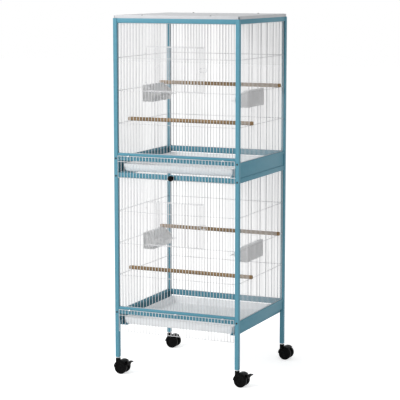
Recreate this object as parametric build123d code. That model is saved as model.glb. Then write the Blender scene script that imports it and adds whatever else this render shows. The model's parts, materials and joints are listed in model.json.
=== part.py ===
from build123d import *
from math import cos, radians, sin
import os

# Rolling bird aviary: two wire cages stacked on one square-tube frame, on four twin-wheel casters.
# Millimetres. +Z is up, the doors face -Y. The floor is Z = 0.

# Overall sizes
WIDTH = 518.0
DEPTH = 486.0
LOWER_CAGE_HEIGHT = 724.0
UPPER_CAGE_HEIGHT = 586.0
LEG_HEIGHT = 143.0
LOWER_SKIRT_HEIGHT = 40.0
ROOF_RIM = 13.0

# Tubes and sheet
POST = 16.0
POST_WALL = 1.2
POST_CORNER = 1.5
RAIL_RECESS = 2.0
LOWER_RAIL_HEIGHT = 18.0
UPPER_RAIL_HEIGHT = 17.0
BACK_RAIL_HEIGHT = 22.0
RAIL_WALL = 1.2
SHEET = 1.5
ROOF_SHEET = 1.0
SKIRT_RETURN = 8.0
SKIRT_LIP_HEIGHT = 10.0
SKIRT_LIP_STEP = 2.0
PLUG_DEPTH = 25.0

# Front rail over each tray slot, with its lip and the flap hung below the lip
FRONT_RAIL_RISE = 18.0
FRONT_RAIL_HEIGHT = 28.0
FRONT_LIP_HEIGHT = 10.0
FRONT_LIP_STEP = 2.0
FRONT_RAIL_RETURN = 6.0

# Wires
WIRE = 2.0
WIRE_PITCH = 12.9
CROSS_WIRE_STEP = 124.8
TOP_GAP = 132.0

# Doors
DOOR_WIDTH = 245.0
DOOR_HEIGHT = 168.0
DOOR_GAP = 1.2
HINGE_GAP = 1.0
HINGE_RING = 5.6
HINGE_RING_LENGTH = 4.0
LOW_RING_RISE = 34.0
HIGH_RING_DROP = 25.0
WIRE_TURN_CLEARANCE = 0.08
LATCH_LENGTH = 26.0
LATCH_HEIGHT = 18.0
LATCH_WIRE = 2.0
LATCH_LIFT = 0.4
LATCH_PULL = 8.0

# Flaps and trays
FLAP_PIVOT_DROP = 11.0
FLAP_MIDDLE_DROP = 21.0
FLAP_LENGTH = 85.0
FLAP_FRONT_GAP = 0.5
FLAP_SIDE_GAP = 1.5
CLIP_LENGTH = 7.0
CLIP_OUTER = 6.0
CLIP_GAPS_FROM_END = 3
TRAY_HEIGHT = 30.5
TRAY_TOP_GAP = 13.5
TRAY_SIDE_GAP = 14.5
TRAY_FRONT_RECESS = 17.0
TRAY_BACK_GAP = 5.0
TRAY_FRONT_DRAFT = 9.0
TRAY_SIDE_DRAFT = 4.0
TRAY_WALL = 1.8
GUIDE_LAP = 10.0
GUIDE_LEAF = 16.0
GUIDE_JOG = 10.0
GUIDE_ABOVE_RAIL = 1.5

# Perches and feeders
PERCH_DIAMETER = 15.5
PERCH_NOTCH = 1.0
PERCH_END_GAP = 0.5
FRONT_PERCH_Y = -110.0
BACK_PERCH_Y = 173.0
FEEDER_LENGTH = 166.0
FEEDER_HEIGHT = 65.0
FEEDER_REACH = 52.0
FEEDER_WALL = 1.6
FEEDER_TOE = 6.0
FEEDER_TOP_LAND = 14.0
FEEDER_HOOD_DROP = 27.0
FEEDER_TROUGH_HEIGHT = 24.0
FEEDER_TONGUE = 20.0
FEEDER_TONGUE_WIDTH = 34.0
FEEDER_ABOVE_WIRE = 8.0
FEEDER_CLEARANCE = 0.3
HOOK_WIDTH = 6.0
HOOK_DROP = 5.0
LEFT_FEEDER_Y = 67.0
RIGHT_FEEDER_Y = -54.0

# Flap knob
KNOB_DIAMETER = 22.0
KNOB_STAND = 15.0
KNOB_ABOVE_FLAP_END = 11.0
KNOB_COLLAR = 13.0
KNOB_COLLAR_HEIGHT = 2.0
KNOB_NECK = 7.0
KNOB_PLATE = 1.2

# Casters
WHEEL_DIAMETER = 50.0
WHEEL_WIDTH = 16.0
WHEEL_RIM = 5.5
WHEEL_DISH = 2.5
WHEEL_SLOPE = 1.5
WHEEL_ROUND = 2.5
CASTER_HEADROOM = 12.5
CASTER_TRAIL = 19.0
FORK_WIDTH = 14.6
FORK_SIDE_GAP = 0.6
HOOD_THICKNESS = 2.2
HOOD_GAP = 0.9
HOOD_WIDTH = 45.0
HOOD_FRONT_ANGLE = 178.0
HOOD_REAR_ANGLE = 52.0
BOSS_DIAMETER = 14.6
STEM_DIAMETER = 8.0
STEM_COLLAR = 13.0
STEM_COLLAR_GAP = 0.5
STEM_NECK = 4.0
STEM_TIP_RISE = 3.0
STEM_TIP_GAP = 1.0
STEM_IN_SOCKET = 24.0
SOCKET_END = 4.0
AXLE_DIAMETER = 6.0
TURN_CLEARANCE = 0.05
BRAKE_PIVOT_RISE = 2.9
BRAKE_PIVOT_ANGLE = 40.0
BRAKE_EAR = 5.0
BRAKE_EAR_GAP = 0.3
BRAKE_ARM = 3.5
BRAKE_PIN = 3.0
BRAKE_HUB = 3.9
BRAKE_HUB_GAP = 1.2
BRAKE_PAD = 3.5
BRAKE_REACH = 17.0
BRAKE_WIDTH = 30.0
BRAKE_SHOE_REST = 2.3
BRAKE_SHOE_THICKNESS = 3.2
BRAKE_SHOE_DROP = 11.0

# Roof screws
SCREW_DIAMETER = 4.0
SCREW_HEAD = 8.0
SCREW_END = 3.6
SCREW_INSET = 119.0
ROOF_RELIEF = 3.5

# Levels above the floor
CASTER_HEIGHT = WHEEL_DIAMETER + CASTER_HEADROOM
TRAY_BELOW_SKIRT_TOP = FRONT_RAIL_HEIGHT - FRONT_RAIL_RISE + TRAY_TOP_GAP + TRAY_HEIGHT
UPPER_SKIRT_HEIGHT = TRAY_BELOW_SKIRT_TOP + SHEET + GUIDE_ABOVE_RAIL
LOWER_SKIRT_TOP = CASTER_HEIGHT + LEG_HEIGHT + LOWER_SKIRT_HEIGHT
LOWER_TOP = CASTER_HEIGHT + LOWER_CAGE_HEIGHT
UPPER_SKIRT_TOP = LOWER_TOP + UPPER_SKIRT_HEIGHT
FRAME_TOP = LOWER_TOP + UPPER_CAGE_HEIGHT
ROOF_TOP = FRAME_TOP + ROOF_RIM

# Planes of the walls
POST_X = WIDTH / 2 - POST / 2
POST_Y = DEPTH / 2 - POST / 2
INNER_X = WIDTH / 2 - POST
INNER_Y = DEPTH / 2 - POST
RAIL_DEPTH = POST - 2 * RAIL_RECESS
FRONT = -DEPTH / 2
FLAP_Y = FRONT - FLAP_FRONT_GAP - WIRE / 2

# Middle of the bounding box in X and Y, which is the origin of the part
HOOD_RADIUS = WHEEL_DIAMETER / 2 + HOOD_GAP + HOOD_THICKNESS
BRAKE_PIVOT_RADIUS = HOOD_RADIUS + BRAKE_PIVOT_RISE
CASTER_RIGHT = POST_X + CASTER_TRAIL + BRAKE_PIVOT_RADIUS * cos(radians(BRAKE_PIVOT_ANGLE)) + BRAKE_REACH
CASTER_LEFT = -POST_X + CASTER_TRAIL - HOOD_RADIUS * cos(radians(180 - HOOD_FRONT_ANGLE))
CASTER_BACK = POST_Y + FORK_WIDTH / 2 + FORK_SIDE_GAP + WHEEL_WIDTH
KNOB_FRONT = FLAP_Y - KNOB_STAND - KNOB_DIAMETER / 2
CENTRE_X = (CASTER_RIGHT + min(CASTER_LEFT, -WIDTH / 2)) / 2
CENTRE_Y = (CASTER_BACK + KNOB_FRONT) / 2

TIERS = {
    "lower": (LOWER_SKIRT_TOP, LOWER_TOP - LOWER_RAIL_HEIGHT),
    "upper": (UPPER_SKIRT_TOP, FRAME_TOP - UPPER_RAIL_HEIGHT),
}
CORNERS = {"lf": (-1, -1), "rf": (1, -1), "lb": (-1, 1), "rb": (1, 1)}
BRAKED = ("lf", "rf")


def block(x, y, z):
    """A box from its low and high X, Y and Z."""
    size = (x[1] - x[0], y[1] - y[0], z[1] - z[0])
    return Pos((x[0] + x[1]) / 2, (y[0] + y[1]) / 2, (z[0] + z[1]) / 2) * Box(*size)


def tube(outer_x, outer_y, length, wall, corner=0.0):
    """A hollow rectangular tube standing on Z = 0."""
    outside = RectangleRounded(outer_x, outer_y, corner) if corner else Rectangle(outer_x, outer_y)
    return extrude(outside - Rectangle(outer_x - 2 * wall, outer_y - 2 * wall), amount=length)


def folded(points, thickness):
    """The outline of a sheet bent at right angles: a path, and the same path one thickness to its left."""
    inner = []
    for i, point in enumerate(points):
        shift = Vector(0, 0)
        for a, b in ((i - 1, i), (i, i + 1)):
            if a >= 0 and b < len(points):
                run = (Vector(*points[b]) - Vector(*points[a])).normalized()
                shift += Vector(-run.Y, run.X) * thickness
        inner.append(Vector(*point) + shift)
    return make_face(Polyline(*points, *reversed(inner), close=True))


def wire_places(low, high):
    """Centres of evenly spaced upright wires whose outer faces reach from low to high."""
    first, last = low + WIRE / 2, high - WIRE / 2
    count = max(2, round((last - first) / WIRE_PITCH) + 1)
    return [first + (last - first) * i / (count - 1) for i in range(count)]


def comb(places, z_low, z_high, y):
    """Upright wires welded between a top and a bottom wire, in the plane at y."""
    def loop(x0, x1, z0, z1):
        return Wire.make_polygon([(x0, y - WIRE / 2, z0), (x1, y - WIRE / 2, z0),
                                  (x1, y - WIRE / 2, z1), (x0, y - WIRE / 2, z1)], close=True)
    half = WIRE / 2
    outside = loop(places[0] - half, places[-1] + half, z_low, z_high)
    gaps = [loop(a + half, b - half, z_low + WIRE, z_high - WIRE) for a, b in zip(places, places[1:])]
    return extrude(Face(outside, gaps), amount=WIRE, dir=(0, 1, 0))


def cross_wire(x_low, x_high, z, y=0.0, side=1):
    """A level wire along X, on the inner (side 1) or outer (side -1) face of upright wires in the plane at y."""
    faces = sorted((y + side * WIRE / 2, y + side * 1.5 * WIRE))
    return block((x_low, x_high), faces, (z - WIRE / 2, z + WIRE / 2))


def cross_levels(tier):
    """Heights of the three level wires of a tier, from its top wire down."""
    top = TIERS[tier][1] - TOP_GAP
    return [top - CROSS_WIRE_STEP * i for i in range(3)]


def save(name, *solids):
    """Writes one sub-part, moved so that the part's origin is under the middle of its box."""
    placed = [Pos(-CENTRE_X, -CENTRE_Y, 0) * solid for solid in solids]
    whole = placed[0] if len(placed) == 1 else Compound(children=placed)
    whole.label = name
    export_step(whole, f"parts/{name}.step")


def make_posts():
    lower = Pos(0, 0, CASTER_HEIGHT) * tube(POST, POST, LOWER_CAGE_HEIGHT, POST_WALL, POST_CORNER)
    upper = Pos(0, 0, LOWER_TOP) * tube(POST, POST, UPPER_CAGE_HEIGHT, POST_WALL, POST_CORNER)
    bore = POST - 2 * POST_WALL
    joiner = Pos(0, 0, LOWER_TOP) * Box(bore, bore, 2 * PLUG_DEPTH)
    cap = Pos(0, 0, FRAME_TOP - PLUG_DEPTH / 4) * Box(bore, bore, PLUG_DEPTH / 2)
    for corner, (sx, sy) in CORNERS.items():
        place = Pos(sx * POST_X, sy * POST_Y, 0)
        save(f"lower_post_{corner}", place * lower)
        save(f"upper_post_{corner}", place * upper)
    places = [Pos(sx * POST_X, sy * POST_Y, 0) for sx, sy in CORNERS.values()]
    save("post_joiners", *[place * joiner for place in places])
    save("post_caps", *[place * cap for place in places])


def top_rails(z_top, height, screw_places=()):
    """Four tubes between the posts, at the top of a cage."""
    along_x = Rot(0, 90, 0) * tube(height, RAIL_DEPTH, 2 * INNER_X, RAIL_WALL)
    along_y = Rot(-90, 0, 0) * tube(RAIL_DEPTH, height, 2 * INNER_Y, RAIL_WALL)
    z = z_top - height / 2
    front = Pos(-INNER_X, -POST_Y, z) * along_x
    back = Pos(-INNER_X, POST_Y, z) * along_x
    for x in screw_places:
        hole = Pos(x, 0, z_top) * Cylinder(SCREW_DIAMETER / 2, 4 * RAIL_WALL)
        front -= Pos(0, -POST_Y, 0) * hole
        back -= Pos(0, POST_Y, 0) * hole
    return front, back, Pos(-POST_X, -INNER_Y, z) * along_y, Pos(POST_X, -INNER_Y, z) * along_y


def front_rail(skirt_top):
    """The folded sheet rail over the tray slot, with the lip that shades the flap's hinge."""
    top = skirt_top + FRONT_RAIL_RISE
    face = FRONT + RAIL_RECESS
    step = face + FRONT_LIP_STEP
    bottom = top - FRONT_RAIL_HEIGHT
    path = [(face + RAIL_DEPTH, top - SKIRT_RETURN), (face + RAIL_DEPTH, top), (face, top),
            (face, top - FRONT_LIP_HEIGHT), (step, top - FRONT_LIP_HEIGHT), (step, bottom),
            (step + FRONT_RAIL_RETURN, bottom)]
    outline = Plane.YZ * folded(path, SHEET)
    return Pos(-INNER_X, 0, 0) * extrude(outline, amount=2 * INNER_X, dir=(1, 0, 0))


def back_rail(skirt_top):
    rail = Rot(0, 90, 0) * tube(BACK_RAIL_HEIGHT, RAIL_DEPTH, 2 * INNER_X, RAIL_WALL)
    return Pos(-INNER_X, POST_Y, skirt_top - BACK_RAIL_HEIGHT / 2) * rail


def along_depth(outline):
    """Sweeps an outline, drawn as X and Z on the right-hand side, from the front posts to the back ones."""
    solid = extrude(Plane.XZ * outline, amount=2 * INNER_Y, dir=(0, 1, 0))
    return Pos(0, -INNER_Y, 0) * solid


def both_sides(solid):
    return solid, mirror(solid, about=Plane.YZ)


def skirt(top, height):
    """The folded sheet panel under the side wires: a top flange with a return and a lip, and the wall."""
    face = WIDTH / 2 - RAIL_RECESS
    wall = face - SKIRT_LIP_STEP
    path = [(face - RAIL_DEPTH, top - SKIRT_RETURN), (face - RAIL_DEPTH, top), (face, top),
            (face, top - SKIRT_LIP_HEIGHT), (wall, top - SKIRT_LIP_HEIGHT), (wall, top - height)]
    return along_depth(folded(list(reversed(path)), SHEET))


def tray_floor(skirt_top):
    return skirt_top - TRAY_BELOW_SKIRT_TOP


def tray_guide(skirt_top, skirt_height):
    """The sheet runner that a tray slides on: a leaf on the skirt's inside and a ledge under the tray."""
    wall = WIDTH / 2 - RAIL_RECESS - SKIRT_LIP_STEP - SHEET
    ledge = tray_floor(skirt_top) - SHEET
    inner = INNER_X - TRAY_SIDE_GAP - TRAY_SIDE_DRAFT - GUIDE_LAP
    skirt_bottom = skirt_top - skirt_height
    if ledge >= skirt_bottom:
        path = [(wall, ledge + GUIDE_LEAF), (wall, ledge), (inner, ledge)]
    else:
        jog = wall - GUIDE_JOG
        path = [(wall, skirt_bottom + GUIDE_LEAF), (wall, skirt_bottom), (jog, skirt_bottom),
                (jog, ledge), (inner, ledge)]
    return along_depth(folded(list(reversed(path)), SHEET))


def side_panel(tier):
    """A side wall of wires, made along X and turned to lie along Y on the right-hand side."""
    z_low, z_high = TIERS[tier]
    solids = [comb(wire_places(-INNER_Y, INNER_Y), z_low, z_high, 0)]
    solids += [cross_wire(-INNER_Y, INNER_Y, z) for z in cross_levels(tier)]
    return [Pos(POST_X, 0, 0) * Rot(0, 0, 90) * solid for solid in solids]


def back_panel(tier):
    z_low, z_high = TIERS[tier]
    solids = [comb(wire_places(-INNER_X, INNER_X), z_low, z_high, 0)]
    solids += [cross_wire(-INNER_X, INNER_X, z) for z in cross_levels(tier)]
    return [Pos(0, POST_Y, 0) * Rot(0, 0, 180) * solid for solid in solids]


def door_opening(tier):
    """Low and high X of the clear opening, between two wires, and its low and high Z."""
    places = wire_places(-INNER_X, INNER_X)
    left = min(places, key=lambda x: abs(x + DOOR_WIDTH / 2 + WIRE_PITCH / 2))
    right = min(places, key=lambda x: abs(x - left - DOOR_WIDTH))
    z_low = cross_levels(tier)[1] + WIRE / 2
    return left, right, z_low, z_low + DOOR_HEIGHT


def front_panel(tier):
    """Upright wires left of, right of, above and below the door, and the level wires behind them."""
    z_low, z_high = TIERS[tier][0] + FRONT_RAIL_RISE, TIERS[tier][1]
    left, right, door_low, door_high = door_opening(tier)
    places = wire_places(-INNER_X, INNER_X)
    before = [x for x in places if x < left + WIRE]
    within = [x for x in places if left + WIRE < x < right - WIRE]
    after = [x for x in places if x > right - WIRE]
    high, middle, low = cross_levels(tier)
    solids = [comb(before, z_low, z_high, 0), comb(after, z_low, z_high, 0)]
    for z_foot, z_head in ((door_high, z_high), (z_low, door_low)):
        infill = comb(within, z_foot, z_head, 0)
        for z in (z_foot, z_head - WIRE):
            infill += block((left + WIRE / 2, right - WIRE / 2), (-WIRE / 2, WIRE / 2), (z, z + WIRE))
        solids.append(infill)
    solids.append(cross_wire(-INNER_X, left + WIRE / 2, high))
    solids.append(cross_wire(right - WIRE / 2, INNER_X, high))
    solids.append(cross_wire(left - WIRE / 2, right + WIRE / 2, door_high + WIRE / 2))
    solids.append(cross_wire(-INNER_X, INNER_X, middle))
    solids.append(cross_wire(-INNER_X, INNER_X, low))
    return [Pos(0, -POST_Y, 0) * solid for solid in solids]


def door(tier):
    """A wire door with two rings that turn on the upright wire left of the opening."""
    left, right, z_low, z_high = door_opening(tier)
    ring_bore = WIRE / 2 * 2 ** 0.5 + WIRE_TURN_CLEARANCE
    x_low = left + HINGE_RING / 2 + HINGE_GAP
    x_high = right - WIRE / 2 - DOOR_GAP
    solids = [comb(wire_places(x_low, x_high), z_low + DOOR_GAP, z_high - DOOR_GAP, 0)]
    solids.append(cross_wire(x_low, x_high, cross_levels(tier)[0], side=-1))
    for z in (z_low + LOW_RING_RISE, z_high - HIGH_RING_DROP):
        ring = Cylinder(HINGE_RING / 2, HINGE_RING_LENGTH) + block(
            (0, x_low - left + WIRE / 2), (-WIRE / 2, WIRE / 2), (-HINGE_RING_LENGTH / 2, HINGE_RING_LENGTH / 2))
        ring -= Cylinder(ring_bore, 2 * HINGE_RING_LENGTH)
        solids[0] += Pos(left, 0, z) * ring
    return [Pos(0, -POST_Y, 0) * solid for solid in solids]


def door_latch(tier):
    """A sprung wire hook on the door's free edge, which snaps over the next upright wire."""
    left, right, z_low, z_high = door_opening(tier)
    z = (z_low + z_high) / 2
    x_edge = right - WIRE / 2 - DOOR_GAP - WIRE / 2
    x_low, x_high = x_edge - LATCH_LENGTH / 2, x_edge + LATCH_LENGTH / 2
    back = -WIRE / 2 - LATCH_LIFT
    front = back - LATCH_WIRE
    half = LATCH_HEIGHT / 2
    loop = block((x_low, x_high), (front, back), (z - half, z + half))
    loop -= block((x_low + LATCH_WIRE, x_high - LATCH_WIRE), (front - 1, back + 1),
                  (z - half + LATCH_WIRE, z + half - LATCH_WIRE))
    weld = block((x_edge - WIRE / 2, x_edge + WIRE / 2), (back, -WIRE / 2), (z - half, z - half + LATCH_WIRE))
    loop += weld + Pos(0, 0, LATCH_HEIGHT - LATCH_WIRE) * weld
    pull = block((x_low, x_low + LATCH_WIRE), (front - LATCH_PULL, front), (z - LATCH_WIRE / 2, z + LATCH_WIRE / 2))
    return Pos(0, -POST_Y, 0) * (loop + pull)


def flap_levels(tier):
    """Heights of a flap's pivot, its middle wire and its end."""
    pivot = TIERS[tier][0] + FRONT_RAIL_RISE - FLAP_PIVOT_DROP
    return pivot, pivot - FLAP_MIDDLE_DROP, pivot - FLAP_LENGTH


def flap(tier):
    """The wire flap in front of a tray. Its top wire turns in the clips on the front rail."""
    pivot, middle, end = flap_levels(tier)
    reach = INNER_X - FLAP_SIDE_GAP
    solids = [comb(wire_places(-reach, reach), end, pivot + WIRE / 2, FLAP_Y)]
    return solids + [cross_wire(-reach, reach, middle, FLAP_Y, side=-1)]


def clip_places():
    """Middles of gaps between flap wires, near both ends and in the middle."""
    reach = INNER_X - FLAP_SIDE_GAP
    places = wire_places(-reach, reach)
    gaps = [(a + b) / 2 for a, b in zip(places, places[1:])]
    return gaps[CLIP_GAPS_FROM_END], gaps[len(gaps) // 2], gaps[-1 - CLIP_GAPS_FROM_END]


def flap_clip(pivot, x):
    """A saddle clip on the front rail's face, round the flap's top wire."""
    bore = WIRE / 2 * 2 ** 0.5 + WIRE_TURN_CLEARANCE
    back = FRONT + RAIL_RECESS + FRONT_LIP_STEP - FLAP_Y
    under_lip = FLAP_PIVOT_DROP - FRONT_LIP_HEIGHT
    leaf_height = CLIP_OUTER / 2 + under_lip
    outline = Circle(CLIP_OUTER / 2) + Pos(back / 2, under_lip - leaf_height / 2) * Rectangle(back, leaf_height)
    outline -= Circle(bore)
    clip = extrude(Plane.YZ * outline, amount=CLIP_LENGTH / 2, both=True)
    return Pos(x, FLAP_Y, pivot) * clip


def tray(tier):
    """A shallow drawn tray with drafted walls."""
    floor = tray_floor(TIERS[tier][0])
    top_x = INNER_X - TRAY_SIDE_GAP
    front, back = FRONT + TRAY_FRONT_RECESS, INNER_Y - TRAY_BACK_GAP

    def section(z, inset):
        share = 1 - (z - floor) / TRAY_HEIGHT
        x = top_x - TRAY_SIDE_DRAFT * share - inset
        y0 = front + TRAY_FRONT_DRAFT * share + inset
        y1 = back - TRAY_SIDE_DRAFT * share - inset
        return Pos(0, (y0 + y1) / 2, z) * Rectangle(2 * x, y1 - y0)

    outside = loft([section(floor, 0), section(floor + TRAY_HEIGHT, 0)])
    inside = loft([section(floor + TRAY_WALL, TRAY_WALL), section(floor + TRAY_HEIGHT, TRAY_WALL)])
    return outside - inside


def perch(y, z_wire):
    """A dowel that rests on the level wires of both side walls, notched where they carry it."""
    length = 2 * (POST_X - WIRE / 2 - PERCH_END_GAP)
    z = z_wire + WIRE / 2 + PERCH_DIAMETER / 2 - PERCH_NOTCH
    dowel = Pos(0, y, z) * Rot(0, 90, 0) * Cylinder(PERCH_DIAMETER / 2, length)
    inner = POST_X - 1.5 * WIRE
    for side in (-1, 1):
        x = sorted((side * (inner - PERCH_END_GAP), side * POST_X))
        dowel -= block(x, (y - PERCH_DIAMETER, y + PERCH_DIAMETER), (z_wire - PERCH_DIAMETER, z_wire + WIRE / 2))
    return dowel


def feeder(z_wire):
    """A hooded seed box. Drawn with its back at X = 0 and reaching to +X, hung on a wire at X < 0."""
    top = z_wire + FEEDER_ABOVE_WIRE
    bottom = top - FEEDER_HEIGHT
    eave = top - FEEDER_HOOD_DROP
    trough = bottom + FEEDER_TROUGH_HEIGHT
    wall = FEEDER_WALL
    half = FEEDER_LENGTH / 2

    def prism(points, width):
        outline = make_face(Polyline(*points, close=True))
        return extrude(Plane.XZ * outline, amount=width / 2, both=True)

    toe = FEEDER_REACH - FEEDER_TOE
    outside = prism([(0, bottom), (toe, bottom), (FEEDER_REACH, trough),
                     (FEEDER_REACH, eave), (FEEDER_TOP_LAND, top), (0, top)], FEEDER_LENGTH)
    inside = prism([(wall, bottom + wall), (toe - wall, bottom + wall), (FEEDER_REACH - wall, trough),
                    (FEEDER_REACH - wall, eave - wall / 2), (FEEDER_TOP_LAND - wall / 2, top - wall), (wall, top - wall)],
                   FEEDER_LENGTH - 2 * wall)
    mouth = block((FEEDER_REACH / 2, FEEDER_REACH + 1), (-half + wall, half - wall), (trough, eave))
    body = outside - inside - mouth
    tongue = block((FEEDER_REACH - wall, FEEDER_REACH + FEEDER_TONGUE),
                   (half - FEEDER_TONGUE_WIDTH, half), (trough - wall, trough))
    body += tongue
    gap = FEEDER_CLEARANCE
    for y in feeder_hook_places():
        top_leaf = block((-WIRE - gap - wall, wall), (y - HOOK_WIDTH / 2, y + HOOK_WIDTH / 2),
                         (z_wire + WIRE / 2, z_wire + WIRE / 2 + wall))
        drop = block((-WIRE - gap - wall, -WIRE - gap), (y - HOOK_WIDTH / 2, y + HOOK_WIDTH / 2),
                     (z_wire - HOOK_DROP, z_wire + WIRE / 2 + wall))
        body += top_leaf + drop
    return body


def feeder_hook_places():
    """Hook places along the feeder, a whole number of wire steps apart."""
    places = wire_places(-INNER_Y, INNER_Y)
    step = places[1] - places[0]
    reach = step * (round(FEEDER_LENGTH / 2 / step) - 1)
    return (-reach, reach)


def feeder_middle(y):
    """The middle of the gap between side wires that is nearest to y."""
    places = wire_places(-INNER_Y, INNER_Y)
    gaps = [(a + b) / 2 for a, b in zip(places, places[1:])]
    return min(gaps, key=lambda gap: abs(gap - y))


def knob(tier):
    """A ball knob screwed to a plate through a gap between two of the flap's wires."""
    end = flap_levels(tier)[2]
    z = end + KNOB_ABOVE_FLAP_END
    reach = INNER_X - FLAP_SIDE_GAP
    places = wire_places(-reach, reach)
    middle = len(places) // 2
    x = (places[middle - 1] + places[middle - 2]) / 2
    pitch = places[1] - places[0]
    back = WIRE / 2
    ball = Pos(0, -KNOB_STAND, 0) * Sphere(KNOB_DIAMETER / 2)
    neck = Pos(0, back, 0) * forward_rod(KNOB_NECK, back + KNOB_STAND)
    collar = Pos(0, -back, 0) * forward_rod(KNOB_COLLAR, KNOB_COLLAR_HEIGHT)
    plate = Pos(0, back + KNOB_PLATE / 2, 0) * Box(pitch + WIRE, KNOB_PLATE, KNOB_COLLAR)
    return Pos(x, FLAP_Y, z) * (ball + neck + collar + plate)


def forward_rod(diameter, length):
    """A round bar that runs from the origin towards the front."""
    return Rot(90, 0, 0) * Cylinder(diameter / 2, length, align=(Align.CENTER, Align.CENTER, Align.MIN))


def roof():
    """A shallow folded pan upside down on the frame, relieved at its corners."""
    x, y = WIDTH - 2 * RAIL_RECESS, DEPTH - 2 * RAIL_RECESS
    pan = Pos(0, 0, (FRAME_TOP + ROOF_TOP) / 2) * Box(x, y, ROOF_RIM)
    void_top = ROOF_TOP - ROOF_SHEET
    pan -= block((-x / 2 + ROOF_SHEET, x / 2 - ROOF_SHEET), (-y / 2 + ROOF_SHEET, y / 2 - ROOF_SHEET),
                 (FRAME_TOP - 1, void_top))
    for sx, sy in CORNERS.values():
        pan -= Pos(sx * x / 2, sy * y / 2, FRAME_TOP) * Box(2 * ROOF_RELIEF, 2 * ROOF_RELIEF, 4 * ROOF_RIM)
    for sx, sy in roof_screw_places():
        pan -= Pos(sx, sy, ROOF_TOP) * screw_head()
    return pan


def roof_screw_places():
    x = WIDTH / 2 - SCREW_INSET
    return [(sx * x, sy * POST_Y) for sx in (-1, 1) for sy in (-1, 1)]


def screw_head():
    """A square-angled countersunk head, whose top is at Z = 0."""
    depth = (SCREW_HEAD - SCREW_DIAMETER) / 2
    return Cone(SCREW_DIAMETER / 2, SCREW_HEAD / 2, depth, align=(Align.CENTER, Align.CENTER, Align.MAX))


def roof_screw():
    """A screw that sits flush in the roof sheet and runs through the top wall of a rail."""
    length = ROOF_RIM + SCREW_END
    shank = Cylinder(SCREW_DIAMETER / 2, length, align=(Align.CENTER, Align.CENTER, Align.MAX))
    return Pos(0, 0, ROOF_TOP) * (screw_head() + shank)


def wedge(radius, low, high):
    """A sector of a disc, drawn as X and Z, from one angle to another."""
    start = (radius * cos(radians(low)), radius * sin(radians(low)))
    end = (radius * cos(radians(high)), radius * sin(radians(high)))
    middle = radians((low + high) / 2)
    arc = ThreePointArc(start, (radius * cos(middle), radius * sin(middle)), end)
    return make_face(arc + Line(end, (0, 0)) + Line((0, 0), start))


def caster_hood(braked):
    """The swivelling body: a core between the wheels, a boss on the stem and a mudguard over both wheels."""
    radius = WHEEL_DIAMETER / 2
    cover = wedge(HOOD_RADIUS, HOOD_REAR_ANGLE, HOOD_FRONT_ANGLE)
    boss_top = CASTER_HEIGHT - STEM_NECK - radius
    boss = Pos(-CASTER_TRAIL, boss_top / 2) * Rectangle(BOSS_DIAMETER, boss_top)
    body = across(Circle(radius - WHEEL_RIM) + cover + boss, FORK_WIDTH)
    body += across(cover - Circle(radius + HOOD_GAP), HOOD_WIDTH)
    if braked:
        hub = Pos(*brake_pivot()) * Circle(BRAKE_HUB)
        pin_hole = Pos(*brake_pivot()) * Circle(BRAKE_PIN / 2 + TURN_CLEARANCE)
        ear = wedge(BRAKE_PIVOT_RADIUS, BRAKE_PIVOT_ANGLE, HOOD_REAR_ANGLE)
        body += across(ear + hub - pin_hole, BRAKE_EAR)
        body -= across(pin_hole, BRAKE_EAR)
    body -= across(Circle(AXLE_DIAMETER / 2 + TURN_CLEARANCE), 2 * HOOD_WIDTH)
    bore_depth = boss_top - STEM_TIP_RISE + STEM_TIP_GAP
    bore = Cylinder(STEM_DIAMETER / 2 + TURN_CLEARANCE, bore_depth, align=(Align.CENTER, Align.CENTER, Align.MAX))
    body -= Pos(-CASTER_TRAIL, 0, boss_top) * bore
    return Pos(CASTER_TRAIL, 0, radius) * body


def across(outline, width):
    """Extrudes an outline, drawn as X and Z, evenly to both sides."""
    return extrude(Plane.XZ * outline, amount=width / 2, both=True)


def brake_pivot():
    angle = radians(BRAKE_PIVOT_ANGLE)
    return BRAKE_PIVOT_RADIUS * cos(angle), BRAKE_PIVOT_RADIUS * sin(angle)


def brake_lever():
    """A pedal and a shoe on two arms, which turn on a pin through the hood's ear. The shoe rests off the wheels."""
    x, z = brake_pivot()
    half = BRAKE_WIDTH / 2
    slot = BRAKE_EAR + 2 * BRAKE_EAR_GAP
    pad_start = BRAKE_HUB + BRAKE_HUB_GAP
    lever = across(Circle(BRAKE_HUB), slot + 2 * BRAKE_ARM)
    lever += block((0, BRAKE_REACH), (-slot / 2 - BRAKE_ARM, slot / 2 + BRAKE_ARM), (BRAKE_HUB - BRAKE_PAD, BRAKE_HUB))
    lever += block((pad_start, BRAKE_REACH), (-half, half), (BRAKE_HUB - BRAKE_PAD, BRAKE_HUB))
    shoe_x = (BRAKE_SHOE_REST, BRAKE_SHOE_REST + BRAKE_SHOE_THICKNESS)
    lever += block(shoe_x, (-half, half), (-BRAKE_SHOE_DROP, BRAKE_HUB))
    lever -= across(Circle(BRAKE_HUB + BRAKE_HUB_GAP), slot)
    lever += across(Circle(BRAKE_PIN / 2), slot + BRAKE_ARM)
    return Pos(CASTER_TRAIL + x, 0, WHEEL_DIAMETER / 2 + z) * lever


def caster_wheels():
    """Two dished wheels pressed on one axle."""
    radius = WHEEL_DIAMETER / 2
    inner = FORK_WIDTH / 2 + FORK_SIDE_GAP
    outer = inner + WHEEL_WIDTH
    rim = radius - WHEEL_RIM
    floor = outer - WHEEL_DISH
    outline = Polyline((AXLE_DIAMETER / 2, inner), (radius, inner), (radius, outer - WHEEL_ROUND),
                       (radius - WHEEL_ROUND, outer), (rim, outer), (rim - WHEEL_SLOPE, floor),
                       (AXLE_DIAMETER / 2, floor), close=True)
    wheel = revolve(make_face(outline), Axis.Y)
    axle = across(Circle(AXLE_DIAMETER / 2), 2 * outer - WHEEL_DISH)
    place = Pos(CASTER_TRAIL, 0, radius)
    return [place * wheel, place * mirror(wheel, about=Plane.XZ), place * axle]


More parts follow.
